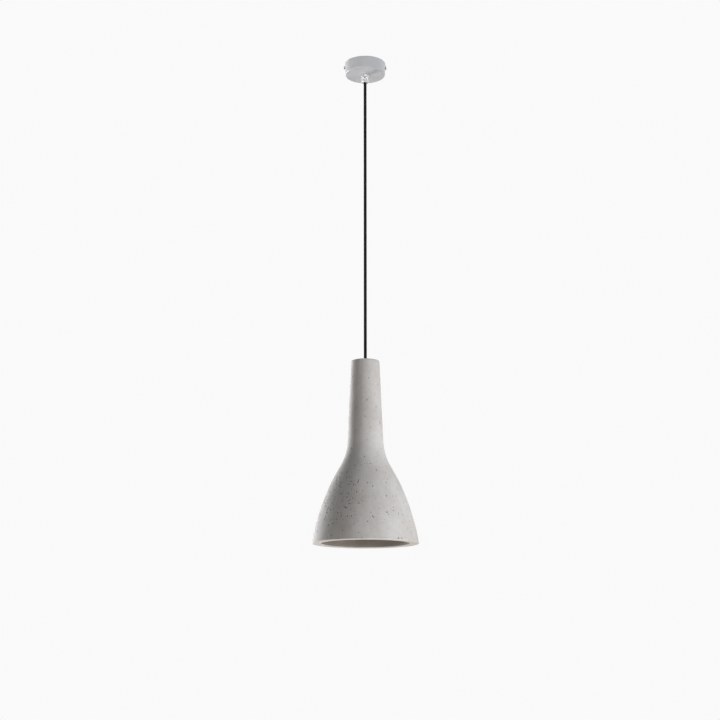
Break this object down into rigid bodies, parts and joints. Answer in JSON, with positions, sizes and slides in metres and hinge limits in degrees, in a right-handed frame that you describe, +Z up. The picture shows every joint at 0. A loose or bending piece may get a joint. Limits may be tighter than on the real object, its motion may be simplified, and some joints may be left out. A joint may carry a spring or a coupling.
{
  "type": "pendant ceiling light",
  "caption": "Cast concrete bell-shaped pendant light on a round black cable with a ceiling cup, clear cord grip, screw lampholder and bulb.",
  "frame": {"origin": "on the ceiling plane, on the lamp's axis, midway between the bracket's two slots", "axes": "+Z up into the ceiling along the lamp's axis; X along the bracket's slots and through the two side screws; the cord grip's screw faces -Y"},
  "size_m": [0.1859, 0.186, 0.894],
  "materials": {
    "galvanised_steel": "galvanised sheet",
    "canopy_paint": "satin powder coat",
    "zinc_plated": "bright zinc plate",
    "clear_plastic": "moulded clear plastic",
    "white_plastic": "moulded",
    "brass": "turned",
    "green_wire": "extruded insulation",
    "brown_wire": "extruded insulation",
    "blue_wire": "extruded insulation",
    "cable_braid": "woven textile sleeve",
    "concrete": "cast concrete with open pores",
    "black_plastic": "moulded, satin",
    "steatite": "pressed ceramic",
    "nickel": "nickel-plated sheet",
    "solder": "solder",
    "black_glass": "fused glass",
    "bulb_glass": "blown clear glass",
    "stem_glass": "drawn glass",
    "phosphor": "phosphor-coated"
  },
  "bodies": {
    "ceiling_mount": {"mounting_bracket": "galvanised_steel", "canopy": "canopy_paint", "canopy_side_screws": "zinc_plated", "cord_grip_body": "clear_plastic", "cord_grip_washer": "zinc_plated", "cord_grip_nut": "zinc_plated", "cord_grip_screw": "zinc_plated", "terminal_block": "white_plastic", "terminal_barrels": "brass", "terminal_screws": "zinc_plated", "block_fixing_screw": "zinc_plated", "earth_screw": "brass", "earth_tag": "zinc_plated", "earth_wire": "green_wire", "live_wire": "brown_wire", "neutral_wire": "blue_wire", "cable_in_canopy": "cable_braid"},
    "cable_bend": {"cable_bend": "cable_braid"},
    "cable_drop": {"cable_drop": "cable_braid"},
    "cable_knuckle": {"cable_knuckle": "cable_braid"},
    "cable_entry": {"cable_entry": "cable_braid"},
    "shade": {"concrete_shade": "concrete", "threaded_tube": "zinc_plated", "tube_bush": "black_plastic", "top_washer": "zinc_plated", "top_nut": "zinc_plated", "lower_washer": "zinc_plated", "lower_nut": "zinc_plated", "cable_in_shade": "cable_braid", "lampholder_cap": "black_plastic", "cap_locking_screw": "zinc_plated", "strain_relief": "white_plastic", "lampholder_body": "black_plastic", "contact_insert": "steatite", "centre_contact": "brass", "side_contact": "brass", "threaded_shell": "nickel", "holder_screws": "zinc_plated", "live_lead": "brown_wire", "neutral_lead": "blue_wire"},
    "bulb_tip": {"bulb_contact": "solder"},
    "bulb": {"bulb_cap": "nickel", "bulb_insulator": "black_glass", "bulb_glass": "bulb_glass", "bulb_stem": "stem_glass", "bulb_filaments": "phosphor", "filament_wires": "nickel"}
  },
  "joints": [
    {"name": "swing_side", "type": "hinge", "parent": "ceiling_mount", "child": "cable_bend", "pos_m": [0, 0, -0.038], "axis": [0, 1, 0], "range_deg": [-30, 30]},
    {"name": "swing_depth", "type": "hinge", "parent": "cable_bend", "child": "cable_drop", "pos_m": [0, 0, -0.054], "axis": [1, 0, 0], "range_deg": [-30, 30]},
    {"name": "rock_side", "type": "hinge", "parent": "cable_drop", "child": "cable_knuckle", "pos_m": [0, 0, -0.56], "axis": [0, 1, 0], "range_deg": [-15, 15]},
    {"name": "rock_depth", "type": "hinge", "parent": "cable_knuckle", "child": "cable_entry", "pos_m": [0, 0, -0.569], "axis": [1, 0, 0], "range_deg": [-15, 15]},
    {"name": "shade_twist", "type": "hinge", "parent": "cable_entry", "child": "shade", "pos_m": [0, 0, -0.609], "axis": [0, 0, 1], "range_deg": [-180, 180]},
    {"name": "bulb_slide", "type": "slide", "parent": "shade", "child": "bulb_tip", "axis": [0, 0, 1], "range_m": [-0.0182, 0]},
    {"name": "bulb_turn", "type": "hinge", "parent": "bulb_tip", "child": "bulb", "pos_m": [0, 0, -0.8], "axis": [0, 0, 1], "range_deg": [-1800, 0]}
  ],
  "couplings": [
    {"joint": "bulb_slide", "follows": "bulb_turn", "m_per_rad": 0.00057757}
  ]
}
